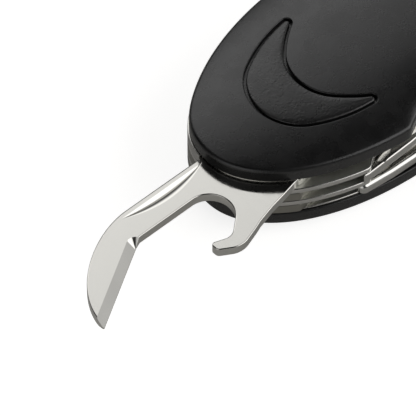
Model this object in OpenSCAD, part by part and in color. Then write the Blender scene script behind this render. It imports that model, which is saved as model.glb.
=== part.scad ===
// Folding golf multitool: an oval body with domed covers, three tool layers between
// polished liners, and backsprings along the closed side. The bottle opener is folded out
// at the -X end; the knife blade and the divot fork lie folded and open from the +X end.
// Millimetres. +Z is up, and the origin is the middle of the flat land underneath.

/* [Body] */
// Length of the oval body
body_len = 74; // [73:0.5:76]
// Width of the oval body
body_w = 40; // [39.5:0.5:42]
// Rise of each dome above its rim
dome_h = 2.3; // [2:0.1:3]
// Height of the upright skirt of each cover
skirt_h = 2.9; // [2.6:0.1:3.4]
// Width of the thumb scallop in the top cover
scallop_w = 13; // [10:1:18]
// Depth of the thumb scallop
scallop_d = 2.5; // [1:0.25:3]
// How much fuller the oval is at its two closed corners
bulge = 0.5; // [0:0.1:0.6]
// How much fuller the middle liners, springs and spacers are there
core_bulge = 0.6; // [0.5:0.05:1]
// Share of the bottom dome's half width that is ground flat
land_share = 0.35; // [0.3:0.05:0.45]

/* [Layers] */
// Thickness of each liner
liner_t = 1.2; // [1:0.1:1.5]
// Height of each tool layer, the same as the backsprings and spacers
layer_h = 2.2; // [2:0.1:2.6]
// Gap above and below a moving tool
side_gap = 0.05; // [0.03:0.01:0.1]
// How far the outer liners sit inside the covers' outline
liner_inset = 0.5; // [0.4:0.1:0.7]
// How far the middle liners, springs and spacers stand out past the covers
core_proud = 0.2; // [0:0.05:0.3]
// How far each outer liner stands out of its cover
liner_proud = 0.4; // [0.2:0.1:0.6]
// Width of the nail notch in the liners
notch_w = 29.5; // [28:0.5:33]
// Depth of the nail notch
notch_d = 3.5; // [2.5:0.25:4]

/* [Pins] */
// Distance of each pivot from the middle, along the body
pivot_x = 26; // [25.5:0.25:26.5]
// Distance of each pivot from the middle, towards the open side
pivot_y = 6.5; // [6.25:0.25:6.75]
// Radius of the two pivot pins
pin_r = 1.5; // [1.25:0.05:1.75]
// Radius of the backspring rivet
rivet_r = 1.2; // [1:0.1:1.4]
// Distance of the rivet from the middle, towards the closed side
rivet_y = 16.2; // [16:0.1:16.4]
// How much further out the peened heads reach than their shank
head_extra = 0.9; // [0.6:0.1:1.1]
// Height of each peened head
head_h = 0.6; // [0.4:0.1:0.8]

/* [Tools] */
// Radius of every tool's round tang
tang_r = 6.6; // [6.4:0.1:6.7]
// Distance from a pivot to the straight spine of its tool
spine_y = 8.4; // [8.2:0.1:8.4]
// Distance from the opener's pivot to where its claw starts to curve
claw_start = 28.7; // [28:0.1:28.8]
// How far the claw reaches on from there
claw_len = 18.4; // [18:0.1:18.6]
// How far the claw's tip drops below the spine
claw_drop = 14.9; // [14.5:0.1:15]
// Width of the ground bevel on the claw
bevel_w = 1.8; // [1.5:0.1:2.3]
// Radius of the cap-lifter slot
slot_r = 4.6; // [4.4:0.1:4.7]
// Length of the nail nicks
nick_len = 19; // [16:1:19]
// Reach of the knife blade from its pivot
blade_reach = 42.6; // [41:0.2:43.2]
// Reach of the fork from its pivot
fork_reach = 42.8; // [41:0.2:43.2]
// Width of each fork prong
prong_w = 3; // [2.6:0.1:3.2]
// Clear gap between the two prongs
prong_gap = 4.6; // [4.4:0.1:4.8]

/* [Grip] */
// Radius of the round back of the crescent grip
grip_r = 9.6; // [9.2:0.1:9.8]
// Thickness of the crescent at its middle
grip_t = 8.7; // [8:0.1:8.8]
// Distance from the middle of the body to the crescent's back
grip_x = 24.6; // [24.2:0.1:24.8]
// Half the distance between the crescent's two horn tips
horn_y = 11.3; // [11:0.1:11.5]
// Distance from the middle of the body to the horn tips
horn_x = 8.3; // [8:0.1:8.6]
// Radius of each horn tip
horn_r = 0.55; // [0.4:0.05:0.6]
// Width of the groove round the crescent
grip_groove = 0.4; // [0.2:0.05:0.5]
// Depth of the pocket that holds the crescent, below the rim's highest point
grip_depth = 1.5; // [1.2:0.1:1.6]

/* [Hidden] */

half_l = body_len / 2;
half_w = body_w / 2;
ring_n = 96;

// Heights, from the flat land up.
low_rim_z = dome_h;
low_skirt_z = low_rim_z + skirt_h;
low_liner_z = low_skirt_z + liner_proud - liner_t;
fork_z = low_liner_z + liner_t;
low_mid_z = fork_z + layer_h;
blade_z = low_mid_z + liner_t;
up_mid_z = blade_z + layer_h;
opener_z = up_mid_z + liner_t;
top_liner_z = opener_z + layer_h;
top_skirt_z = top_liner_z + liner_proud;

blade_t = layer_h - 2 * side_gap;
fixed_fit = 0.02;
running_fit = 0.05;
pocket_fit = 0.03;
part_gap = 0.3;
bulge_at = 157;
bulge_spread = 14;
dome_power = 2.4;
dome_round = 0.85;
dome_rings = 9;
top_inner = 0.02;
scallop_fade = 6;
skirt_edge = 0.25;
rim_edge = 0.1;

front_pivot = [-pivot_x, -pivot_y];
rear_pivot = [pivot_x, -pivot_y];
rivet_at = [0, rivet_y];

// Points of an arc round c, from angle a0 to a1, in n steps.
function arc(c, r, a0, a1, n) =
    [for (i = [0 : n]) let (a = a0 + (a1 - a0) * i / n) [c[0] + r * cos(a), c[1] + r * sin(a)]];

// Share by which the oval is fuller at angle a; full is the extra reach at its closed corners.
function fuller(a, full) =
    1 + full / half_l * exp(-pow((abs(a - 90) - bulge_at + 90) / bulge_spread, 2));

// Oval with a hollow of width w and depth d cut into its -Y side; power sets how square it is.
function hollowed_oval(hl, hw, w, d, power, full = bulge) =
    [for (i = [0 : ring_n - 1])
        let (a = 360 * i / ring_n, k = fuller(a, full))
        let (x = hl * k * cos(a), y = hw * k * sin(a), u = abs(2 * x / w))
        [x, (y < 0 && u < 1) ? y + d * (1 - pow(u, power)) : y]];

outer_l = half_l - liner_inset;
outer_w = half_w - liner_inset;
core_l = half_l + core_proud;
core_w = half_w + core_proud;
outer_outline = hollowed_oval(outer_l, outer_w, notch_w, notch_d, 5);
middle_outline = hollowed_oval(core_l, core_w, notch_w, notch_d, 5, core_bulge);
plain_outline = hollowed_oval(core_l, core_w, 1, 0, 2, core_bulge);

// Rise of the dome above the rim at a share s of the way out from the middle.
function dome_rise(s) = dome_h * pow(1 - pow(s, dome_power), dome_round);

// A cover's outline at a share s of the way out; its scallop, dip deep, fades up the dome.
function cover_outline(s, dip) =
    hollowed_oval(half_l * s, half_w * s, scallop_w, dip * pow(s, scallop_fade), 2);

// Stack of rings [share of the way out, height], closed with flat ends.
module ring_stack(rings, dip) {
    n = ring_n;
    m = len(rings);
    points = [for (r = rings) for (p = cover_outline(r[0], dip)) [p[0], p[1], r[1]]];
    sides = [for (j = [0 : m - 2]) for (i = [0 : n - 1])
        [j * n + i, (j + 1) * n + i, (j + 1) * n + (i + 1) % n, j * n + (i + 1) % n]];
    low_end = [for (i = [0 : n - 1]) i];
    high_end = [for (i = [n - 1 : -1 : 0]) (m - 1) * n + i];
    polyhedron(points, concat(sides, [low_end, high_end]));
}

// One cover without its pockets: skirt, rim and dome, upright, with its skirt's edge at z = 0.
// The dome ends in a flat at the share inner, and reaches its full height there.
module cover_blank(inner, dip) {
    edge = 1 - skirt_edge / half_w;
    gain = dome_h / dome_rise(inner);
    shares = [for (k = [1 : dome_rings]) 1 - (1 - inner) * pow(k / dome_rings, 1.5)];
    rings = concat(
        [[edge, 0], [1, skirt_edge], [1, skirt_h - rim_edge], [1 - rim_edge / half_w, skirt_h]],
        [for (s = shares) [s, skirt_h + gain * dome_rise(s)]]);
    ring_stack(rings, dip);
}

// Crescent seen from above: round back, round front, and long arcs out to round horn tips.
// grow moves the whole outline outwards by that much.
back_c = [grip_r - grip_x, 0];
front_c = [grip_r - grip_x + grip_t, 0];
horn_c = [-horn_x, horn_y];
out_leaves = 120;
in_leaves = 136;
grip_shift = 0.25;

// Radius of the long arc that leaves the circle round c at angle a and passes the horn;
// tip is the horn's radius, negative where the horn lies outside the long arc.
function long_r(c, a, tip) =
    let (w = horn_c - c, wu = w * [cos(a), sin(a)])
    (w * w + grip_r * grip_r - tip * tip - 2 * grip_r * wu) / (2 * (grip_r - tip - wu));
function long_c(c, a, r) = c + (grip_r - r) * [cos(a), sin(a)];
function heading(p, q) = atan2(q[1] - p[1], q[0] - p[0]);
function flipped(p) = [p[0], -p[1]];

module crescent(grow) {
    out_r = long_r(back_c, out_leaves, horn_r);
    in_r = long_r(front_c, in_leaves, -horn_r);
    out_c = long_c(back_c, out_leaves, out_r);
    in_c = long_c(front_c, in_leaves, in_r);
    out_a = heading(out_c, horn_c);
    in_a = heading(in_c, horn_c);
    translate([0, grip_shift]) polygon(concat(
        arc(horn_c, horn_r + grow, in_a - 180, out_a, 8),
        arc(out_c, out_r + grow, out_a, out_leaves, 8),
        arc(back_c, grip_r + grow, out_leaves, 360 - out_leaves, 24),
        arc(flipped(out_c), out_r + grow, -out_leaves, -out_a, 8),
        arc(flipped(horn_c), horn_r + grow, -out_a, 180 - in_a, 8),
        arc(flipped(in_c), in_r - grow, -in_a, -in_leaves, 8),
        arc(front_c, grip_r - grow, 360 - in_leaves, in_leaves, 20),
        arc(in_c, in_r - grow, in_leaves, in_a, 8)));
}

grip_floor = skirt_h + dome_h - grip_depth;
liner_pocket = liner_t - liner_proud;

module cover(inner, dip) {
    difference() {
        cover_blank(inner, dip);
        translate([0, 0, -1]) linear_extrude(height = 1 + liner_pocket) pocket_outline();
        head_pocket(front_pivot, pin_r);
        head_pocket(rear_pivot, pin_r);
        head_pocket(rivet_at, rivet_r);
        translate([0, 0, grip_floor]) linear_extrude(height = 5) crescent(grip_groove);
    }
}

module pocket_outline() {
    k = 1 + pocket_fit / half_w;
    polygon([for (p = outer_outline) k * p]);
}

module head_pocket(at, r) {
    translate([at[0], at[1], 0])
        cylinder(h = liner_pocket + head_h + part_gap, r = r + head_extra + part_gap, $fn = 48);
}

module grip_inlay(inner, dip) {
    intersection() {
        cover_blank(inner, dip);
        translate([0, 0, grip_floor]) linear_extrude(height = 5) crescent(0);
    }
}

module top_cover() {
    color("#2c2c2c") translate([0, 0, top_skirt_z]) cover(top_inner, scallop_d);
}

module bottom_cover() {
    color("#2c2c2c") translate([0, 0, low_skirt_z]) mirror([0, 0, 1]) cover(land_share, 0);
}

module top_grip_inlay() {
    color("#3a3a3a") translate([0, 0, top_skirt_z]) grip_inlay(top_inner, scallop_d);
}

module bottom_grip_inlay() {
    color("#3a3a3a") translate([0, 0, low_skirt_z]) mirror([0, 0, 1]) grip_inlay(land_share, 0);
}

// A hole through one flat piece whose lower face is at z = 0.
module hole(at, r) {
    translate([at[0], at[1], -1]) cylinder(h = layer_h + 2, r = r, $fn = 48);
}

module liner(z, outline) {
    color("silver") translate([0, 0, z]) difference() {
        linear_extrude(height = liner_t) polygon(outline);
        hole(front_pivot, pin_r + fixed_fit);
        hole(rear_pivot, pin_r + fixed_fit);
        hole(rivet_at, rivet_r + fixed_fit);
    }
}

module top_liner() { liner(top_liner_z, outer_outline); }
module upper_middle_liner() { liner(up_mid_z, middle_outline); }
module lower_middle_liner() { liner(low_mid_z, middle_outline); }
module bottom_liner() { liner(low_liner_z, outer_outline); }

// Bottle opener, drawn round its pivot with its arm towards -X and its spine on the +Y side.
arm_inner_y = 2.5;
slot_c = [-18.2, -2.1];
hook_c = [-17.6, -6.3];
hook_r = 4.2;
hook_neck_c = [-18.6, -5.3];
hook_neck_r = 2.4;
hook_tip_c = [-21.4, -7.5];
hook_tip_r = 0.65;
root_cut_x = -0.5;
claw_power = 1.75;
claw_c = [-claw_start, spine_y - claw_drop];
edge_tip = claw_c + [-claw_len + 0.3, -0.8];
edge_root = [-31.5, 2];
edge_dir = edge_root - edge_tip;
edge_angle = atan2(edge_dir[1], edge_dir[0]);

// The claw's outer curve: a quarter of a slightly pointed oval, from the spine to the tip.
claw_curve = [for (i = [0 : 28]) let (a = 90 - 88 * i / 28)
    claw_c + [-claw_len * pow(cos(a), 2 / claw_power), claw_drop * pow(sin(a), 2 / claw_power)]];

module opener_outline() {
    tang_top = acos(root_cut_x / tang_r);
    polygon(concat(
        [[root_cut_x, spine_y]],
        claw_curve,
        [claw_c + [-claw_len + 0.1, -0.5], edge_tip, edge_root, [-30.3, arm_inner_y]],
        arc(slot_c, slot_r, 88, -45, 20),
        arc(hook_neck_c, hook_neck_r, -50, -105, 6),
        arc(hook_tip_c, hook_tip_r, 72, 226, 8),
        arc(hook_c, hook_r, 232, 290, 8),
        [[-13.6, -9.4], [-12.2, -8.85], [-8.6, -7.9], [-5.4, -7.3]],
        arc([0, 0], tang_r, 258, 360 + tang_top, 30)));
}

// Half space above the ground bevel: it starts at the cutting edge, near the lower face.
module bevel_cut() {
    slope = atan2(blade_t - 0.15, bevel_w);
    translate([edge_tip[0], edge_tip[1], 0.15]) rotate([0, 0, edge_angle])
        rotate([slope, 0, 0]) translate([-8, -6, 0]) cube([norm(edge_dir) + 8.2, 14, 6]);
}

module nail_nick(at) {
    translate([at[0], at[1], blade_t]) rotate([45, 0, 0]) cube([nick_len, 1, 1], center = true);
}

module bottle_opener() {
    color("gainsboro") translate([front_pivot[0], front_pivot[1], opener_z + side_gap])
        difference() {
            linear_extrude(height = blade_t) opener_outline();
            hole([0, 0], pin_r + running_fit);
            bevel_cut();
            nail_nick([-21, spine_y - 1.3]);
        }
}

// Tools of the rear pivot, drawn round it folded: arm towards -X, spine on the -Y side.
module root_and(tip_points) {
    polygon(concat([[root_cut_x, -spine_y]], tip_points,
        arc([0, 0], tang_r, 112, -acos(root_cut_x / tang_r), 32)));
}

module knife_blade() {
    color("gainsboro") translate([rear_pivot[0], rear_pivot[1], blade_z + side_gap])
        difference() {
            linear_extrude(height = blade_t) root_and(concat(
                [[-12, -spine_y], [-19, -9.8], [-26, -11.4], [-31, -11.8]],
                [[1.4 - blade_reach, -12.1], [-blade_reach, -11.9]],
                [[2.5 - blade_reach, -9.4], [6 - blade_reach, -6.4], [11 - blade_reach, -4.5]],
                [[17 - blade_reach, -3.8], [-9, -3.4], [-7.5, -2.2], [-6.8, 2]]));
            hole([0, 0], pin_r + running_fit);
            nail_nick([-21, 1.3 - spine_y]);
        }
}

fork_outer_y = 13;
prong_taper = 0.3;
tip_inset = 0.85;
prong_root = 21;
module divot_fork() {
    tip_r = prong_w / 2 - prong_taper / 2;
    outer_c = [tip_r - fork_reach, tip_r + tip_inset - fork_outer_y];
    inner_c = [outer_c[0], outer_c[1] + 2 * tip_r + prong_gap];
    gap_c = [-prong_root - prong_gap / 2, (outer_c[1] + inner_c[1]) / 2];
    color("gainsboro") translate([rear_pivot[0], rear_pivot[1], fork_z + side_gap])
        difference() {
            linear_extrude(height = blade_t) root_and(concat(
                [[-12, -spine_y], [-17.5, -10.8], [-23, 0.5 - fork_outer_y], [-29, -fork_outer_y]],
                [[-36, 0.3 - fork_outer_y]],
                arc(outer_c, tip_r, 268, 92, 11),
                arc(gap_c, prong_gap / 2, -88, 88, 11),
                arc(inner_c, tip_r, 268, 92, 11),
                [[-19, inner_c[1] + prong_w / 2], [-13, -1.6], [-8, 0], [-6.8, 2]]));
            hole([0, 0], pin_r + running_fit);
        }
}

// Backspring: a strip along the closed side, widening to the end that bears on a tang.
strip_in = [[13, 22], [13, 12.4], [0, 13], [-9, 12.4], [-15.2, 8.6], [-16.2, 2.6], [-20, 1.5]];
bearing_end = [[-24, 0.9], [-26.1, 0.6], [-26.1, 2.3], [-40, 2.3], [-40, 22]];
module backspring(z, flip) {
    color("lightgray") translate([0, 0, z]) mirror([flip ? 1 : 0, 0, 0]) difference() {
        linear_extrude(height = layer_h) intersection() {
            polygon(plain_outline);
            polygon(concat(strip_in, bearing_end));
        }
        hole(rivet_at, rivet_r + fixed_fit);
    }
}

module upper_backspring() { backspring(opener_z, false); }
module middle_backspring() { backspring(blade_z, true); }
module lower_backspring() { backspring(fork_z, true); }

// Spacer: fills a layer round the pin at the end where no tool turns.
foot_y = -13.7;
module spacer(z, flip, foot_x) {
    inner = [[13.3, 22], [13.3, 12.3], [22.9, 6], [22.9, -7], [foot_x, foot_y]];
    color("silver") translate([0, 0, z]) mirror([flip ? 1 : 0, 0, 0]) difference() {
        linear_extrude(height = layer_h) intersection() {
            polygon(plain_outline);
            polygon(concat(inner, [[40, foot_y], [40, 22]]));
        }
        hole(rear_pivot, pin_r + fixed_fit);
    }
}

module rear_spacer() { spacer(opener_z, false, 24); }
module middle_front_spacer() { spacer(blade_z, true, 21.5); }
module lower_front_spacer() { spacer(fork_z, true, 21.5); }

// Pin from the bottom liner's lower face to the top liner's upper face, peened at both ends.
module headed_pin(at, r) {
    shank_h = top_liner_z + liner_t - low_liner_z;
    color("darkgray") translate([at[0], at[1], low_liner_z]) union() {
        translate([0, 0, -head_h]) cylinder(h = shank_h + 2 * head_h, r = r, $fn = 48);
        translate([0, 0, -head_h]) cylinder(h = head_h, r = r + head_extra, $fn = 48);
        translate([0, 0, shank_h]) cylinder(h = head_h, r = r + head_extra, $fn = 48);
    }
}

module front_pivot_pin() { headed_pin(front_pivot, pin_r); }
module rear_pivot_pin() { headed_pin(rear_pivot, pin_r); }
module spring_rivet() { headed_pin(rivet_at, rivet_r); }

top_cover();
bottom_cover();
top_grip_inlay();
bottom_grip_inlay();
top_liner();
upper_middle_liner();
lower_middle_liner();
bottom_liner();
bottle_opener();
knife_blade();
divot_fork();
upper_backspring();
middle_backspring();
lower_backspring();
rear_spacer();
middle_front_spacer();
lower_front_spacer();
front_pivot_pin();
rear_pivot_pin();
spring_rivet();
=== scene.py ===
"""Looks of the folding golf multitool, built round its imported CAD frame.

Outlines are in millimetres in the CAD frame and become metres when a mesh is made.
The tool is an oval body with two black domed covers and crescent thumb grips, steel
liners, and tools in three layers. The bottle opener is folded out.
"""
import math

import bmesh
import bpy
import numpy as np
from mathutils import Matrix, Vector

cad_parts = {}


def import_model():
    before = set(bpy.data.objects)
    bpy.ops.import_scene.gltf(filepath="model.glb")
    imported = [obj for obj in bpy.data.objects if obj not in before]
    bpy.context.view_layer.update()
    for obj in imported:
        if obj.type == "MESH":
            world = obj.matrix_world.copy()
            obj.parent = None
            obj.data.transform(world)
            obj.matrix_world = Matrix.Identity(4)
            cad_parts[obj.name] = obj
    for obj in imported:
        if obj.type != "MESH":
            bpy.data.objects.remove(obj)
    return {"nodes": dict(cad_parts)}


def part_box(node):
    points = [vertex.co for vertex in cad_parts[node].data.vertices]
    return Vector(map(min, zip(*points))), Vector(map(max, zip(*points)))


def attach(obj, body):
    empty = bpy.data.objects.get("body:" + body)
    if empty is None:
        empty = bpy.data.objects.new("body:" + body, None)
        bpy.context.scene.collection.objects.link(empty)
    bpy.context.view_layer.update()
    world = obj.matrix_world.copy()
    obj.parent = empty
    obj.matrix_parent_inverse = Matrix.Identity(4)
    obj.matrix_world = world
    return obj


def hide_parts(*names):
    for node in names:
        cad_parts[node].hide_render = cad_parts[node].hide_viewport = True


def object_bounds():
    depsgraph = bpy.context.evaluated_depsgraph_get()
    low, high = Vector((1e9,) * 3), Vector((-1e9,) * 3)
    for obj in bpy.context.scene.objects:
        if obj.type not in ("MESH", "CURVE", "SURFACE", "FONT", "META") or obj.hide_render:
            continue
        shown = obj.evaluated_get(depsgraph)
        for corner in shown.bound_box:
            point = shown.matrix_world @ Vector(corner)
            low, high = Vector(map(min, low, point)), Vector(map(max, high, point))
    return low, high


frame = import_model()
cad_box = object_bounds()

MM = 0.001


def box_mm(node):
    """Lowest and highest corner of a CAD node, in millimetres."""
    low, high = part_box(node)
    return np.array(low) / MM, np.array(high) / MM


def centre_xy(node):
    low, high = box_mm(node)
    return (low[:2] + high[:2]) / 2


# ---------------------------------------------------------------- sizes, millimetres
HALF_L, HALF_W = 37, 20
SKIRT_H = 2.9
DOME_H = box_mm("top_cover")[1][2] - box_mm("top_cover")[0][2] - SKIRT_H
DOME_POWER, DOME_ROUND = 2.4, 0.85
LAND_SHARE, APEX_SHARE = 0.35, 0.02
SCALLOP_W, SCALLOP_D, SCALLOP_FADE = 13, 2.5, 6
NOTCH_W, NOTCH_D, NOTCH_POWER = 29.5, 3.5, 6
LINER_INSET, LINER_PROUD, LINER_T = 0.5, 0.4, 1.2
CORE_PROUD = 0.2
BULGE, CORE_BULGE, BULGE_AT, BULGE_SPREAD = 0.5, 0.6, 157, 14
RIM_R, SKIRT_EDGE = 0.8, 0.25

GRIP_R, GRIP_T, GRIP_X = 9.6, 8.7, 24.6
HORN_X, HORN_Y, HORN_R = 8.3, 11.3, 0.55
OUT_LEAVES, IN_LEAVES, GRIP_SHIFT = 120, 136, 0.25
GROOVE, LIP, GRIP_EDGE, GRIP_PUFF = 0.5, 0.2, 0.3, 0.08
GRIP_FLOOR = SKIRT_H + DOME_H - 1.5

FRONT_PIVOT = centre_xy("front_pivot_pin")
REAR_PIVOT = centre_xy("rear_pivot_pin")
RIVET_AT = centre_xy("spring_rivet")
PIN_R, RIVET_R, HOLE_GAP = 1.5, 1.2, 0.05

TANG_R, SPINE_Y, ROOT_X = 6.6, 8.4, -0.5
BLADE_REACH, FORK_REACH = 42.6, 42.8
PRONG_W, PRONG_GAP, PRONG_TAPER = 3, 4.6, 0.3
FORK_OUTER_Y, TIP_INSET = 13, 0.85
NICK_X, NICK_Y, NICK_HALF_L, NICK_W, NICK_D = -20.9, 7.45, 9.4, 2.25, 0.5

# Edges that turn by more than this many degrees are sharp: on flat pieces, on domed ones.
FLAT_CREASE, DOME_CREASE = 38, 50
BISECTIONS = 34


# ---------------------------------------------------------------- outlines
def arc(centre, radius, start, end, count):
    """Points from angle start towards end, in degrees; the end point itself is left out."""
    a = np.radians(np.linspace(start, end, count, endpoint=False))
    return np.stack([centre[0] + radius * np.cos(a), centre[1] + radius * np.sin(a)], 1)


def polar(centre, radius, angle):
    a = math.radians(angle)
    return np.array([centre[0] + radius * math.cos(a), centre[1] + radius * math.sin(a)])


def outward(loop):
    """Outward offset directions of an anticlockwise loop, longer at its corners."""
    step = np.roll(loop, -1, 0) - loop
    normal = np.stack([step[:, 1], -step[:, 0]], 1)
    normal /= np.maximum(np.linalg.norm(normal, axis=1), 1e-9)[:, None]
    both = normal + np.roll(normal, 1, 0)
    both /= np.maximum(np.linalg.norm(both, axis=1), 1e-9)[:, None]
    return both / np.maximum((both * normal).sum(1), 0.4)[:, None]


def corner(before, at, after, radius, sharp=14, steps=6):
    """A corner rounded off between its two neighbours, if it turns by more than sharp degrees."""
    at = np.asarray(at, float)
    a, b = before - at, after - at
    la, lb = np.linalg.norm(a), np.linalg.norm(b)
    turn = math.acos(np.clip(-(a @ b) / (la * lb), -1, 1))
    if turn < math.radians(sharp):
        return at[None]
    cut_back = min(radius * math.tan(turn / 2), 0.45 * la, 0.45 * lb)
    start, end = at + a / la * cut_back, at + b / lb * cut_back
    t = np.linspace(0, 1, steps + 1)[:, None]
    return (1 - t) ** 2 * start + 2 * t * (1 - t) * at + t * t * end


def soften(loop, radius, sharp=14):
    """Rounds every corner of a loop that turns by more than sharp degrees."""
    ring = zip(np.roll(loop, 1, 0), loop, np.roll(loop, -1, 0))
    return np.concatenate([corner(*three, radius, sharp) for three in ring])


def hollow(x, width, power):
    """1 in the middle of a hollow, 0 outside it, with softened corners."""
    v = 1 - np.abs(2 * x / width) ** power
    return (v + np.sqrt(v * v + 0.02)) / 2


def bulge(angles, full):
    """Share by which the oval is fuller at its two closed corners."""
    a = np.abs((np.asarray(angles) % 360) - 90)
    return 1 + full / HALF_L * np.exp(-((a - BULGE_AT + 90) / BULGE_SPREAD) ** 2)


def hollowed_oval(angles, half_l, half_w, width, depth, power, full=BULGE):
    a, k = np.radians(angles), bulge(angles, full)
    x, y = half_l * k * np.cos(a), half_w * k * np.sin(a)
    return np.stack([x, np.where(y < 0, y + depth * hollow(x, width, power), y)], 1)


def liner_loop(angles, grow, full=BULGE):
    """Outline of a liner that reaches grow past the covers."""
    return hollowed_oval(angles, HALF_L + grow, HALF_W + grow, NOTCH_W, NOTCH_D, NOTCH_POWER, full)


def oval_arc(start, end, count):
    """Part of the oval of the springs and spacers, between two angles in degrees."""
    angles = np.linspace(start, end, count)
    return hollowed_oval(angles, HALF_L + CORE_PROUD, HALF_W + CORE_PROUD, 1, 0, 2, CORE_BULGE)


def big_arc(centre, radius, angle, horn, tip):
    """Centre and radius of the large arc that leaves a circle at angle and ends round a horn.
    tip is the horn's radius, negative where the horn lies outside the large circle."""
    w, u = np.asarray(horn) - centre, polar((0, 0), 1, angle)
    big = (w @ w + radius ** 2 - tip ** 2 - 2 * radius * (w @ u)) / (2 * (radius - tip - w @ u))
    return np.asarray(centre) + (radius - big) * u, big


def heading(p, q):
    return math.degrees(math.atan2(q[1] - p[1], q[0] - p[0]))


HORN_N, SIDE_N, BACK_N = 24, 18, 84
# Angles on the cover's rim that belong to the ends of the crescent's eight stretches.
RIM_KEYS = (66, 96, 112, 248, 264, 294, 306, 414, 426)


def crescent(grow):
    """The crescent's outline, anticlockwise from the inner side of its upper horn."""
    back, front = np.array([GRIP_R - GRIP_X, 0]), np.array([GRIP_R - GRIP_X + GRIP_T, 0])
    high, low = np.array([-HORN_X, HORN_Y]), np.array([-HORN_X, -HORN_Y])
    out_c, out_r = big_arc(back, GRIP_R, OUT_LEAVES, high, HORN_R)
    in_c, in_r = big_arc(front, GRIP_R, IN_LEAVES, high, -HORN_R)
    out_a, in_a = heading(out_c, high), heading(in_c, high)
    tip, rear, hole = HORN_R + grow, GRIP_R + grow, GRIP_R - grow
    out_side, in_side = out_r + grow, in_r - grow
    flip = np.array([1, -1])
    loop = np.concatenate([
        arc(high, tip, in_a - 180, out_a, HORN_N),
        arc(out_c, out_side, out_a, OUT_LEAVES, SIDE_N),
        arc(back, rear, OUT_LEAVES, 360 - OUT_LEAVES, BACK_N),
        arc(out_c * flip, out_side, -OUT_LEAVES, -out_a, SIDE_N),
        arc(low, tip, -out_a, 180 - in_a, HORN_N),
        arc(in_c * flip, in_side, -in_a, -IN_LEAVES, SIDE_N),
        arc(front, hole, 360 - IN_LEAVES, IN_LEAVES, BACK_N),
        arc(in_c, in_side, IN_LEAVES, in_a, SIDE_N),
    ])
    return loop + (0, GRIP_SHIFT)


def rim_angles():
    """An angle on the rim for every point of the crescent."""
    counts = (HORN_N, SIDE_N, BACK_N, SIDE_N) * 2
    spans = zip(RIM_KEYS, RIM_KEYS[1:], counts)
    return np.concatenate([np.linspace(a, b, n, endpoint=False) for a, b, n in spans])


# ---------------------------------------------------------------- dome
def share(points, scallop):
    """How far out each point lies on the dome: 0 in the middle, 1 at the outline."""
    x, y = points[:, 0], points[:, 1]
    dip = np.where(y < 0, scallop * hollow(x, SCALLOP_W, 2), 0)
    low, high = np.zeros(len(x)), np.full(len(x), 1.02)
    for _ in range(BISECTIONS):
        s = (low + high) / 2
        inside = np.hypot(x / HALF_L, (y - dip * s ** SCALLOP_FADE) / HALF_W) > s
        low, high = np.where(inside, s, low), np.where(inside, high, s)
    return (low + high) / 2


def rise(s):
    return DOME_H * (1 - np.minimum(s, 1) ** DOME_POWER) ** DOME_ROUND


def dome(points, flat, scallop):
    """Height of the cover above its skirt's edge; the middle share flat is level."""
    return SKIRT_H + DOME_H / rise(flat) * rise(np.maximum(share(points, scallop), flat))


# ---------------------------------------------------------------- meshes
def link(ob):
    bpy.context.scene.collection.objects.link(ob)
    return ob


def mesh_object(name, bm):
    mesh = bpy.data.meshes.new(name)
    bmesh.ops.recalc_face_normals(bm, faces=bm.faces)
    bm.to_mesh(mesh)
    bm.free()
    return link(bpy.data.objects.new(name, mesh))


def add_ring(bm, loop, z):
    z = np.broadcast_to(z, len(loop))
    return [bm.verts.new((p[0] * MM, p[1] * MM, h * MM)) for p, h in zip(loop, z)]


def skin(bm, rings, smooth=True):
    """Quads between neighbouring rings."""
    for low, high in zip(rings, rings[1:]):
        count = len(low)
        for i in range(count):
            j = (i + 1) % count
            bm.faces.new((low[i], low[j], high[j], high[i])).smooth = smooth


def ring_edges(bm, ring):
    return [bm.edges.get((v, ring[(i + 1) % len(ring)])) for i, v in enumerate(ring)]


def crease(bm, degrees):
    """Edges that turn more than this are sharp."""
    limit = math.radians(degrees)
    for edge in bm.edges:
        if len(edge.link_faces) == 2:
            edge.smooth = edge.calc_face_angle() < limit


def plate(name, loops, z0, z1, edge, steps=3, under=1.0):
    """Flat piece with rounded edges. Its outer loop is anticlockwise and its holes clockwise.
    edge is the radius of the edges: one number, or a function of the loop's points. The lower
    edges have under times that radius."""
    bm = bmesh.new()
    ends = [[], []]
    for loop in loops:
        radius = edge(loop) if callable(edge) else np.full(len(loop), float(edge))
        way = outward(loop)
        rings = []
        for turned in (False, True):
            angles = np.linspace(0, math.pi / 2, steps + 1)
            for a in (angles[::-1] if turned else angles):
                r = radius if turned else radius * under
                at = loop - way * (r * (1 - math.sin(a)))[:, None]
                lift = r * (1 - math.cos(a))
                rings.append(add_ring(bm, at, z1 - lift if turned else z0 + lift))
        skin(bm, rings)
        ends[0] += ring_edges(bm, rings[0])
        ends[1] += ring_edges(bm, rings[-1])
    for edges in ends:
        made = bmesh.ops.triangle_fill(bm, use_beauty=True, edges=edges)["geom"]
        for face in made:
            if isinstance(face, bmesh.types.BMFace):
                face.smooth = False
    crease(bm, FLAT_CREASE)
    return mesh_object(name, bm)


def hole_loop(at, radius, count=48):
    return arc(at, radius, 360, 0, count)


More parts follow.
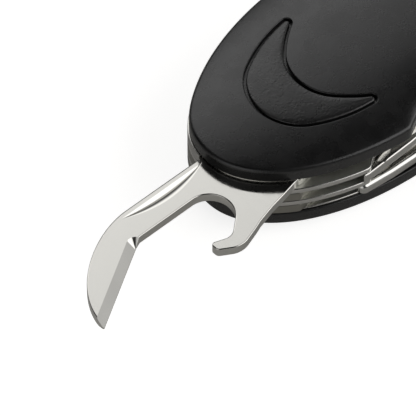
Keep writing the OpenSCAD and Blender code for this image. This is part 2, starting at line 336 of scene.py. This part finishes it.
def cut(ob, *cutters):
    """Takes each cutter's shape out of ob."""
    for cutter in cutters:
        mod = ob.modifiers.new("cut", "BOOLEAN")
        mod.operation = "DIFFERENCE"
        mod.solver = "EXACT"
        mod.object = cutter
    graph = bpy.context.evaluated_depsgraph_get()
    mesh = bpy.data.meshes.new_from_object(ob.evaluated_get(graph))
    ob.modifiers.clear()
    old, ob.data = ob.data, mesh
    mesh.name = ob.name
    bpy.data.meshes.remove(old)
    for cutter in cutters:
        bpy.data.objects.remove(cutter)
    bm = bmesh.new()
    bm.from_mesh(ob.data)
    bmesh.ops.remove_doubles(bm, verts=bm.verts, dist=2e-6)
    crease(bm, FLAT_CREASE)
    bm.to_mesh(ob.data)
    bm.free()
    return ob


def loft(name, stations):
    """Closed mesh through stations of equal length, each a list of points in millimetres."""
    bm = bmesh.new()
    rings = [[bm.verts.new(Vector(p) * MM) for p in station] for station in stations]
    skin(bm, rings, smooth=False)
    for end in (rings[0], rings[-1]):
        bm.faces.new(end).smooth = False
    return mesh_object(name, bm)


# ---------------------------------------------------------------- covers and grips
def from_skirt(node, upside_down):
    """Function from a height above a cover's skirt edge to a height in the frame."""
    low, high = box_mm(node)
    edge, way = (high[2], -1) if upside_down else (low[2], 1)
    return lambda z: edge + way * z


def cover(name, node, flat, scallop, upside_down):
    """Domed cover: crescent groove in the middle, rounded rim, skirt and liner pocket below."""
    bm, frame_z = bmesh.new(), from_skirt(node, upside_down)
    angles = rim_angles()
    outline = hollowed_oval(angles, HALF_L, HALF_W, SCALLOP_W, scallop, 2)
    inward = -outward(outline)
    near, far = (dome(outline + inward * d, flat, scallop) for d in (0.3, 0.9))
    slope = np.arctan2(far - near, 0.6)
    touch = outline + inward * (RIM_R * (1 - np.sin(slope)))[:, None]
    arc_z = dome(touch, flat, scallop) - RIM_R * np.cos(slope)

    rings = []
    groove = crescent(GROOVE)
    rings.append((groove, GRIP_FLOOR))
    for a in np.linspace(0, math.pi / 2, 4):
        loop = crescent(GROOVE + LIP * (1 - math.cos(a)))
        rings.append((loop, dome(loop, flat, scallop) - LIP * (1 - math.sin(a))))
    inner = rings[-1][0]
    for t in (1 - np.cos(np.linspace(0, math.pi, 46)[1:])) / 2:
        loop = inner + (touch - inner) * t
        rings.append((loop, dome(loop, flat, scallop)))
    for k in np.linspace(0, 1, 7)[1:]:
        a = slope + (math.pi / 2 - slope) * k
        rings.append((outline + inward * (RIM_R * (1 - np.sin(a)))[:, None], arc_z + RIM_R * np.cos(a)))
    for a in np.linspace(0, math.pi / 2, 4):
        rings.append((outline + inward * SKIRT_EDGE * (1 - math.cos(a)), SKIRT_EDGE * (1 - math.sin(a))))
    pocket = liner_loop(angles, 0.03 - LINER_INSET)
    rings += [(pocket, 0), (pocket, LINER_T - LINER_PROUD)]

    made = [add_ring(bm, loop, frame_z(z)) for loop, z in rings]
    skin(bm, made)
    bm.faces.new(made[0]).smooth = False
    bm.faces.new(made[-1]).smooth = False
    crease(bm, DOME_CREASE)
    return mesh_object(name, bm)


def grip(name, node, flat, scallop, upside_down):
    """Crescent thumb grip: flush with the dome, with round edges and a slightly full middle."""
    bm, frame_z = bmesh.new(), from_skirt(node, upside_down)
    rings = [(crescent(0), GRIP_FLOOR + 0.02)]
    for a in np.linspace(0, math.pi / 2, 5):
        loop = crescent(-GRIP_EDGE * (1 - math.cos(a)))
        rings.append((loop, dome(loop, flat, scallop) - GRIP_EDGE * (1 - math.sin(a))))
    made = [add_ring(bm, loop, frame_z(z)) for loop, z in rings]
    skin(bm, made)
    bm.faces.new(made[0]).smooth = False

    top, last = rings[-1][0], made[-1]
    count, tip, across = len(last), HORN_N // 2, 14
    rows = [[last[tip]]]
    for j in range(1, count // 2):
        p, q = top[(tip + j) % count], top[tip - j]
        t = np.linspace(0, 1, across + 1)[1:-1, None]
        points = p + (q - p) * t
        width = np.linalg.norm(q - p)
        puff = GRIP_PUFF * min(1, width / 5) * (1 - (2 * t[:, 0] - 1) ** 4)
        inner = add_ring(bm, points, frame_z(dome(points, flat, scallop) + puff))
        rows.append([last[(tip + j) % count]] + inner + [last[tip - j]])
    rows.append([last[(tip + count // 2) % count]])
    for a, b in zip(rows, rows[1:]):
        if len(a) == 1 or len(b) == 1:
            fan = a if len(b) == 1 else b
            bm.faces.new(fan + (b if len(b) == 1 else a)).smooth = True
            continue
        for i in range(across):
            bm.faces.new((a[i], a[i + 1], b[i + 1], b[i])).smooth = True
    crease(bm, DOME_CREASE)
    return mesh_object(name, bm)


# ---------------------------------------------------------------- flat steel pieces
def liner(name, node, grow, full):
    low, high = box_mm(node)
    loop = liner_loop(np.linspace(0, 360, 400, endpoint=False), grow, full)
    holes = [hole_loop(FRONT_PIVOT, PIN_R), hole_loop(REAR_PIVOT, PIN_R), hole_loop(RIVET_AT, RIVET_R)]
    return plate(name, [loop] + holes, low[2], high[2], 0.2)


def mirrored(loop, flip):
    return (loop * (-1, 1))[::-1] if flip else loop


def backspring(name, node, flip):
    low, high = box_mm(node)
    start = math.degrees(math.acos(13 / (HALF_L + CORE_PROUD)))
    end = 180 - math.degrees(math.asin(2.3 / (HALF_W + CORE_PROUD)))
    inner = [(-26.1, 2.3), (-26.1, 0.6), (-24, 0.9), (-20, 1.5), (-16.2, 2.6), (-15.2, 8.6), (-9, 12.4),
             (0, 13), (13, 12.4)]
    loop = soften(np.concatenate([oval_arc(start, end, 90), np.array(inner, float)]), 0.6)
    return plate(name, [mirrored(loop, flip), hole_loop(RIVET_AT, RIVET_R)], low[2], high[2], 0.18)


def spacer(name, node, flip):
    """Block round the pin at the end of a layer where no tool turns, with a straight foot."""
    low, high = box_mm(node)
    foot_y, foot_x = -13.7, 21.5 if flip else 24
    start = math.degrees(math.asin(foot_y / (HALF_W + CORE_PROUD)))
    end = math.degrees(math.acos(13.3 / (HALF_L + CORE_PROUD)))
    inner = [(13.3, 12.3), (22.9, 6), (22.9, -7), (foot_x, foot_y)]
    loop = soften(np.concatenate([oval_arc(start, end, 90), np.array(inner, float)]), 0.35)
    at = FRONT_PIVOT if flip else REAR_PIVOT
    return plate(name, [mirrored(loop, flip), hole_loop(at, PIN_R)], low[2], high[2], 0.3)


# ---------------------------------------------------------------- tools
def nick(name, at, top, away):
    """Cutter for a nail nick: a straight steep facet and a hollow-ground far side that bows out.
    at is the middle of the straight edge, and away is +1 or -1, the side the bow is on."""
    stations = []
    steep, lift = 0.3, 0.4
    for u in np.linspace(-1, 1, 49):
        w, d = NICK_W * (1 - u * u), NICK_D * (1 - u * u)
        x, y = at[0] + u * NICK_HALF_L, at[1]
        hollow_side = [(x, y + away * w * (steep + (1 - steep) * t), top - d * (1 - t) ** 1.6)
                       for t in np.linspace(0, 1, 9)]
        stations.append([(x, y - away * steep * NICK_W / NICK_D * lift, top + lift), *hollow_side,
                         (x, y + away * (w + 0.3), top + lift)])
    ob = loft(name, stations)
    for polygon in ob.data.polygons:
        polygon.use_smooth = True
    return ob


CLAW_START, CLAW_LEN, CLAW_DROP, CLAW_POWER = 28.7, 18.4, 14.9, 1.75
BEVEL_W, BEVEL_LEFT = 1.6, 0.45
CLAW_C = np.array([-CLAW_START, SPINE_Y - CLAW_DROP])
EDGE_TIP, EDGE_ROOT = CLAW_C + (0.3 - CLAW_LEN, -0.8), np.array([-31.5, 2])


def opener_loop():
    """The bottle opener's outline round its pivot: spine, claw, cap slot, hook and tang."""
    a = np.radians(np.linspace(90, 2, 60))
    power = 2 / CLAW_POWER
    curve = CLAW_C + np.stack([-CLAW_LEN * np.cos(a) ** power, CLAW_DROP * np.sin(a) ** power], 1)
    chin, neck, slot = CLAW_C + (0.1 - CLAW_LEN, -0.5), np.array([-30.3, 2.5]), (-18.2, -2.1)
    tang_top = math.degrees(math.acos(ROOT_X / TANG_R))
    return np.concatenate([
        [(ROOT_X, SPINE_Y)], curve, [chin],
        corner(chin, EDGE_TIP, EDGE_ROOT, 0.9), corner(EDGE_TIP, EDGE_ROOT, neck, 0.3),
        corner(EDGE_ROOT, neck, (-19, 2.5), 1.2),
        arc(slot, 4.6, 88, -45, 40),
        arc((-18.6, -5.3), 2.4, -50, -105, 14),
        arc((-21.4, -7.5), 0.65, 72, 190, 16),
        arc((-20.9, -7.9), 1.15, 190, 236, 10),
        arc((-17.6, -6.3), 4.2, 240, 290, 26),
        [(-13.6, -9.4), (-12.2, -8.85), (-8.6, -7.9), (-5.4, -7.3)],
        arc((0, 0), TANG_R, 258, 360 + tang_top, 60)])


def opener_edge(loop):
    """Edge radius round the opener: a wider chamfer along the spine that fades at the claw."""
    along = np.clip((loop[:, 0] + 33 - FRONT_PIVOT[0]) / 16, 0, 1)
    spine = loop[:, 1] > FRONT_PIVOT[1] + SPINE_Y - 0.6
    return np.where(spine, 0.2 + 0.15 * along, 0.2)


def cone(name, at, low, slope_run, height, count=40):
    """Upturned cone with its point at height low."""
    bm = bmesh.new()
    point = bm.verts.new(Vector((*at, low)) * MM)
    ring = [bm.verts.new(Vector((*p, low + height)) * MM)
            for p in arc(at, slope_run * height, 0, 360, count)]
    for i, v in enumerate(ring):
        bm.faces.new((point, v, ring[(i + 1) % count])).smooth = False
    bm.faces.new(ring).smooth = False
    return mesh_object(name, bm)


def bottle_opener(name):
    low, high = box_mm("bottle_opener")
    loop = opener_loop() + FRONT_PIVOT
    hole = hole_loop(FRONT_PIVOT, PIN_R + HOLE_GAP)
    ob = plate(name, [loop, hole], low[2], high[2], opener_edge)

    tip, root = EDGE_TIP + FRONT_PIVOT, EDGE_ROOT + FRONT_PIVOT
    along = (root - tip) / np.linalg.norm(root - tip)
    side = np.array([-along[1], along[0]])
    z, slope = low[2] + BEVEL_LEFT, (high[2] - low[2] - BEVEL_LEFT) / BEVEL_W
    profile = [(-1, -slope), (3, 3 * slope), (3, 9), (-1, 9)]
    ends = (tip - 4 * along, root - 0.5 * along)
    bevel = loft("bevel_cutter", [[(*(p + side * s), z + h) for s, h in profile] for p in ends])
    round_end = cone("bevel_end_cutter", ends[1], z, 1 / slope, 4)
    finger = nick("nick_cutter", FRONT_PIVOT + (NICK_X, NICK_Y), high[2], -1)
    return cut(ob, bevel, round_end, finger)


def root_and(tip_points, radius):
    """Outline of a rear tool round its pivot: square root, arm with rounded corners, round tang."""
    tang_end = -math.degrees(math.acos(ROOT_X / TANG_R))
    tang = np.concatenate([arc((0, 0), TANG_R, 112, tang_end, 60), [polar((0, 0), TANG_R, tang_end)]])
    run = np.concatenate([[(ROOT_X, -SPINE_Y)], tip_points, tang[:1]])
    arm = [corner(*three, radius, 8) for three in zip(run, run[1:], run[2:])]
    return np.concatenate([run[:1], *arm, tang])[::-1]


def grind(name, edge, width, z_edge, z_face, overshoot=0.6):
    """Cutter that grinds a flat facet down to a cutting edge: edge runs with the blade on its left."""
    way = np.gradient(edge, axis=0)
    way /= np.linalg.norm(way, axis=1)[:, None]
    inward = np.stack([-way[:, 1], way[:, 0]], 1)
    slope = (z_face - z_edge) / width
    sign = math.copysign(1, slope)
    profile = [(-overshoot, z_edge - overshoot * slope), (width + 0.4, z_face + 0.4 * slope),
               (width + 0.4, z_face + 2 * sign), (-overshoot, z_face + 2 * sign)]
    return loft(name, [[(*(p + n * s), z) for s, z in profile] for p, n in zip(edge, inward)])


def knife_blade(name):
    low, high = box_mm("knife_blade")
    belly = [(-BLADE_REACH, -11.9), (1.3 - BLADE_REACH, -10.5), (2.5 - BLADE_REACH, -9.2),
             (6 - BLADE_REACH, -6.5), (11 - BLADE_REACH, -4.6), (17 - BLADE_REACH, -3.8)]
    back = [(-12, -SPINE_Y), (-19, -9.8), (-26, -11.4), (-31, -11.8), (1.4 - BLADE_REACH, -12.1)]
    heel = [(-9, -3.4), (-7.5, -2.2), (-6.8, 2)]
    loop = root_and(back + belly + heel, 0.9) + REAR_PIVOT
    hole = hole_loop(REAR_PIVOT, PIN_R + HOLE_GAP)
    ob = plate(name, [loop, hole], low[2], high[2], 0.4, steps=4, under=0.5)
    edge = np.array([(-13, -3.5), (-18, -3.6), (-25.4, -3.8), (-28.5, -4.1), (-31.4, -4.6), (-34, -5.4),
                     (-36.4, -6.5), (-38.3, -7.8), (-39.9, -9.2)]) + REAR_PIVOT
    middle = (low[2] + high[2]) / 2
    upper = grind("grind_cutter", edge, 4.2, middle + 0.1, high[2])
    lower = grind("grind_cutter_low", edge, 4.2, middle - 0.1, low[2])
    finger = nick("nick_cutter", REAR_PIVOT + (NICK_X, -NICK_Y), high[2], 1)
    return cut(ob, upper, lower, finger)


def divot_fork(name):
    low, high = box_mm("divot_fork")
    r = (PRONG_W - PRONG_TAPER) / 2
    outer = np.array([r - FORK_REACH, r + TIP_INSET - FORK_OUTER_Y])
    inner = outer + (0, 2 * r + PRONG_GAP)
    gap = ((-21 - PRONG_GAP / 2), (outer[1] + inner[1]) / 2)
    tip_points = np.concatenate([
        [(-12, -SPINE_Y), (-17.5, -10.8), (-23, -12.5), (-29, -13), (-36, -12.7)],
        arc(outer, r, 268, 92, 24), arc(gap, PRONG_GAP / 2, -88, 88, 24), arc(inner, r, 268, 92, 24),
        [(-19, inner[1] + PRONG_W / 2), (-13, -1.6), (-8, 0), (-6.8, 2)]])
    loop = root_and(tip_points, 1.2) + REAR_PIVOT
    hole = hole_loop(REAR_PIVOT, PIN_R + HOLE_GAP)

    def edge(points):
        return np.where(points[:, 0] < REAR_PIVOT[0] - 9, 1.0, 0.2)

    return plate(name, [loop, hole], low[2], high[2], edge, steps=6, under=0.3)


# ---------------------------------------------------------------- materials
class Nodes:
    """Small helper that adds and joins shader nodes."""

    def __init__(self, tree):
        self.tree = tree

    def add(self, kind, **values):
        node = self.tree.nodes.new(kind)
        for key, value in values.items():
            if hasattr(node, key):
                setattr(node, key, value)
            else:
                node.inputs[key.replace("_", " ")].default_value = value
        return node

    def join(self, source, target):
        self.tree.links.new(source, target)


def new_material(name):
    """Material with an object-space vector: (material, helper, shader, vector socket)."""
    mat = bpy.data.materials.new(name)
    mat.use_nodes = True
    n = Nodes(mat.node_tree)
    shader = mat.node_tree.nodes["Principled BSDF"]
    return mat, n, shader, n.add("ShaderNodeTexCoord").outputs["Object"]


def scaled(n, vector, scale, turn=0.0):
    place = n.add("ShaderNodeMapping")
    place.inputs["Rotation"].default_value = (0, 0, turn)
    place.inputs["Scale"].default_value = scale
    n.join(vector, place.inputs["Vector"])
    return place.outputs["Vector"]


def noise(n, vector, scale, detail=3.0, roughness=0.55):
    node = n.add("ShaderNodeTexNoise", Scale=scale, Detail=detail, Roughness=roughness)
    n.join(vector, node.inputs["Vector"])
    return node.outputs["Fac"]


def ramp(n, fac, low, high, to_low, to_high):
    node = n.add("ShaderNodeMapRange")
    for key, value in (("From Min", low), ("From Max", high), ("To Min", to_low), ("To Max", to_high)):
        node.inputs[key].default_value = value
    n.join(fac, node.inputs["Value"])
    return node.outputs["Result"]


def blend_colour(n, fac, first, second):
    node = n.add("ShaderNodeMix", data_type="RGBA")
    colours = [s for s in node.inputs if s.type == "RGBA"]
    colours[0].default_value, colours[1].default_value = (*first, 1), (*second, 1)
    n.join(fac, node.inputs["Factor"])
    return [s for s in node.outputs if s.type == "RGBA"][0]


def bump(n, height, strength, distance, normal=None):
    node = n.add("ShaderNodeBump")
    node.inputs["Strength"].default_value = strength
    node.inputs["Distance"].default_value = distance
    n.join(height, node.inputs["Height"])
    if normal is not None:
        n.join(normal, node.inputs["Normal"])
    return node.outputs["Normal"]


def plastic(name, tone, grain, strength, rough, level):
    """Moulded black plastic with a fine spark-eroded grain and faint patches of wear."""
    mat, n, shader, vector = new_material(name)
    fine = noise(n, vector, grain, 2.0, 0.6)
    broad = noise(n, vector, 260, 3.0)
    speck = noise(n, vector, grain * 2.3, 1.0)
    n.join(blend_colour(n, broad, [c * 0.75 for c in tone], [c * 1.3 for c in tone]),
           shader.inputs["Base Color"])
    n.join(ramp(n, broad, 0.3, 0.7, rough - 0.04, rough + 0.05), shader.inputs["Roughness"])
    shader.inputs["Specular IOR Level"].default_value = level
    normal = bump(n, fine, strength, 0.00009)
    n.join(bump(n, speck, strength * 0.5, 0.00004, normal), shader.inputs["Normal"])
    return mat


def steel(name, tone, rough, stretch, turn, strength=0.12):
    """Ground and polished steel: fine lines along one direction, soft smudges, faint warm tint."""
    mat, n, shader, vector = new_material(name)
    lines = noise(n, scaled(n, vector, stretch, turn), 1.0, 4.0, 0.6)
    pits = noise(n, vector, 1800, 2.0)
    cloud = noise(n, vector, 140, 3.0)
    n.join(blend_colour(n, cloud, [c * 0.93 for c in tone], [min(1, c * 1.06) for c in tone]),
           shader.inputs["Base Color"])
    mixed = n.add("ShaderNodeMath", operation="MULTIPLY_ADD")
    n.join(lines, mixed.inputs[0])
    mixed.inputs[1].default_value = 0.5
    n.join(cloud, mixed.inputs[2])
    n.join(ramp(n, mixed.outputs[0], 0.5, 1.0, rough - 0.05, rough + 0.07), shader.inputs["Roughness"])
    shader.inputs["Metallic"].default_value = 1
    normal = bump(n, lines, strength, 0.00002)
    n.join(bump(n, pits, strength * 0.6, 0.00002, normal), shader.inputs["Normal"])
    return mat


def all_materials():
    return {
        "cover": plastic("cover_black", (0.004, 0.004, 0.004), 4400, 0.35, 0.27, 0.72),
        "grip": plastic("grip_black", (0.005, 0.005, 0.0048), 2600, 0.7, 0.27, 0.72),
        "tool": steel("tool_steel", (0.68, 0.67, 0.635), 0.1, (2200, 160, 900), 0.5, 0.06),
        "folded": steel("folded_tool_steel", (0.68, 0.67, 0.64), 0.18, (160, 2200, 900), 0.0, 0.08),
        "liner": steel("liner_steel", (0.74, 0.73, 0.70), 0.16, (150, 150, 2500), 0.0),
        "flat": steel("liner_face_steel", (0.60, 0.60, 0.56), 0.45, (600, 600, 600), 0.0),
        "spring": steel("spring_steel", (0.66, 0.65, 0.62), 0.18, (150, 150, 2600), 0.0),
        "spacer": steel("spacer_steel", (0.36, 0.35, 0.31), 0.3, (200, 200, 2600), 0.0),
        "pin": steel("pin_steel", (0.6, 0.59, 0.57), 0.25, (900, 900, 300), 0.0),
    }


# ---------------------------------------------------------------- putting the tool together
def finish_piece(ob, material, body, slot, *nodes):
    """Gives a piece its material, or one for its round edges and one for its flat faces."""
    both = material if isinstance(material, tuple) else (material,)
    ob.data.materials.clear()
    for each in both:
        ob.data.materials.append(each)
    for polygon in ob.data.polygons:
        polygon.material_index = 0 if polygon.use_smooth else len(both) - 1
    ob.modifiers.new("weight", "WEIGHTED_NORMAL").keep_sharp = True
    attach(ob, body)
    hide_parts(*nodes)


def build(mats):
    for side, flat, scallop, under in (("top", APEX_SHARE, SCALLOP_D, False),
                                       ("bottom", LAND_SHARE, 0, True)):
        node = f"{side}_cover"
        finish_piece(cover(f"{side}_cover_shell", node, flat, scallop, under), mats["cover"], "frame",
                     "cover_black", node)
        finish_piece(grip(f"{side}_crescent_grip", node, flat, scallop, under), mats["grip"], "frame",
                     "grip_black", f"{side}_grip_inlay")
    for node, grow, full in (("top_liner", -LINER_INSET, BULGE),
                             ("upper_middle_liner", CORE_PROUD, CORE_BULGE),
                             ("lower_middle_liner", CORE_PROUD, CORE_BULGE),
                             ("bottom_liner", -LINER_INSET, BULGE)):
        finish_piece(liner(f"{node}_plate", node, grow, full), (mats["liner"], mats["flat"]), "frame",
                     "liner_steel", node)
    for node, flip in (("upper_backspring", False), ("middle_backspring", True), ("lower_backspring", True)):
        finish_piece(backspring(f"{node}_strip", node, flip), mats["spring"], "frame", "spring_steel", node)
    for node, flip in (("rear_spacer", False), ("middle_front_spacer", True), ("lower_front_spacer", True)):
        finish_piece(spacer(f"{node}_block", node, flip), mats["spacer"], "frame", "liner_steel", node)
    finish_piece(bottle_opener("bottle_opener_arm"), mats["tool"], "opener", "tool_steel", "bottle_opener")
    finish_piece(knife_blade("knife_blade_ground"), mats["folded"], "knife", "tool_steel", "knife_blade")
    finish_piece(divot_fork("divot_fork_prongs"), mats["folded"], "fork", "tool_steel", "divot_fork")


def dress_pins(material):
    """The pins keep their CAD shape, with rounded edges and their own steel."""
    for node in ("front_pivot_pin", "rear_pivot_pin", "spring_rivet"):
        ob = frame["nodes"][node]
        ob.data.materials.clear()
        ob.data.materials.append(material)
        ob.modifiers.new("weld", "WELD").merge_threshold = 1e-6
        edge = ob.modifiers.new("edge", "BEVEL")
        edge.width, edge.segments, edge.limit_method = 0.15 * MM, 3, "ANGLE"
        edge.harden_normals = True


# ---------------------------------------------------------------- floor, light, camera
FLOOR_DROP = 0.0003
FLOOR_GLOW = 0.8
# Soft lights of the studio: direction towards the light, edge and middle of its spread as
# cosines, brightness. They sum on a dim background; the negative one is a dark panel.
LOBES = (
    ((0.30, 0.79, 0.53), 0.79, 0.96, 1.75),
    ((0.42, -0.70, 0.58), 0.82, 0.95, 2.0),
    ((-0.90, -0.25, 0.30), 0.80, 0.98, 0.9),
    ((0.93, -0.30, 0.20), 0.70, 0.96, 0.75),
    ((0.33, 0.93, 0.15), 0.88, 0.985, -1.7),
)
AMBIENT = 0.04
DARKEST = 0.01


def floor():
    bm = bmesh.new()
    bmesh.ops.create_grid(bm, x_segments=4, y_segments=4, size=6)
    bmesh.ops.translate(bm, verts=bm.verts, vec=(0, 0, cad_box[0][2] - FLOOR_DROP))
    ob = mesh_object("floor", bm)
    mat = bpy.data.materials.new("floor_pale")
    mat.use_nodes = True
    n = Nodes(mat.node_tree)
    mat.node_tree.nodes.clear()
    diffuse = n.add("ShaderNodeBsdfDiffuse", Color=(0.66, 0.65, 0.63, 1))
    glow = n.add("ShaderNodeEmission", Color=(1, 1, 1, 1), Strength=FLOOR_GLOW)
    both = n.add("ShaderNodeAddShader")
    pick = n.add("ShaderNodeMixShader")
    out = n.add("ShaderNodeOutputMaterial")
    n.join(diffuse.outputs[0], both.inputs[0])
    n.join(glow.outputs[0], both.inputs[1])
    n.join(n.add("ShaderNodeLightPath").outputs["Is Camera Ray"], pick.inputs[0])
    n.join(diffuse.outputs[0], pick.inputs[1])
    n.join(both.outputs[0], pick.inputs[2])
    n.join(pick.outputs[0], out.inputs["Surface"])
    ob.data.materials.append(mat)


def world():
    """Studio made of soft lobes of light, white where the camera sees past the floor."""
    scene_world = bpy.data.worlds.new("studio")
    bpy.context.scene.world = scene_world
    scene_world.use_nodes = True
    n = Nodes(scene_world.node_tree)
    n.tree.nodes.clear()
    direction = n.add("ShaderNodeTexCoord").outputs["Generated"]
    total = None
    for towards, edge, middle, power in LOBES:
        dot = n.add("ShaderNodeVectorMath", operation="DOT_PRODUCT")
        n.join(direction, dot.inputs[0])
        dot.inputs[1].default_value = Vector(towards).normalized()
        spread = n.add("ShaderNodeMapRange", interpolation_type="SMOOTHSTEP")
        for key, value in (("From Min", edge), ("From Max", middle), ("To Min", 0), ("To Max", power)):
            spread.inputs[key].default_value = value
        n.join(dot.outputs["Value"], spread.inputs["Value"])
        add = n.add("ShaderNodeMath", operation="ADD")
        n.join(spread.outputs["Result"], add.inputs[0])
        if total is None:
            add.inputs[1].default_value = AMBIENT
        else:
            n.join(total, add.inputs[1])
        total = add.outputs[0]
    soft = n.add("ShaderNodeBackground")
    above = n.add("ShaderNodeMath", operation="MAXIMUM")
    n.join(total, above.inputs[0])
    above.inputs[1].default_value = DARKEST
    n.join(above.outputs[0], soft.inputs["Strength"])
    seen = n.add("ShaderNodeBackground", Color=(1, 1, 1, 1), Strength=1.0)
    pick = n.add("ShaderNodeMixShader")
    n.join(n.add("ShaderNodeLightPath").outputs["Is Camera Ray"], pick.inputs[0])
    n.join(soft.outputs[0], pick.inputs[1])
    n.join(seen.outputs[0], pick.inputs[2])
    n.join(pick.outputs[0], n.add("ShaderNodeOutputWorld").inputs["Surface"])


CAM_YAW, CAM_PITCH, CAM_DIST = math.radians(-41.22), math.radians(54.18), 0.9
CAM_TARGET = Vector((-0.04114, -0.00475, 0.010))
FOCAL_MM, SENSOR_MM = 442.63, 36


def camera():
    data = bpy.data.cameras.new("camera")
    cam = link(bpy.data.objects.new("camera", data))
    back = Vector((math.sin(CAM_YAW) * math.cos(CAM_PITCH), -math.cos(CAM_YAW) * math.cos(CAM_PITCH),
                   math.sin(CAM_PITCH)))
    cam.location = CAM_TARGET + back * CAM_DIST
    cam.rotation_mode = "QUATERNION"
    cam.rotation_quaternion = (-back).to_track_quat("-Z", "Y")
    data.sensor_width, data.lens, data.clip_start = SENSOR_MM, FOCAL_MM, 0.05
    bpy.context.scene.camera = cam


materials = all_materials()
build(materials)
dress_pins(materials["pin"])
floor()
world()
camera()
bpy.context.scene.view_settings.view_transform = "Standard"
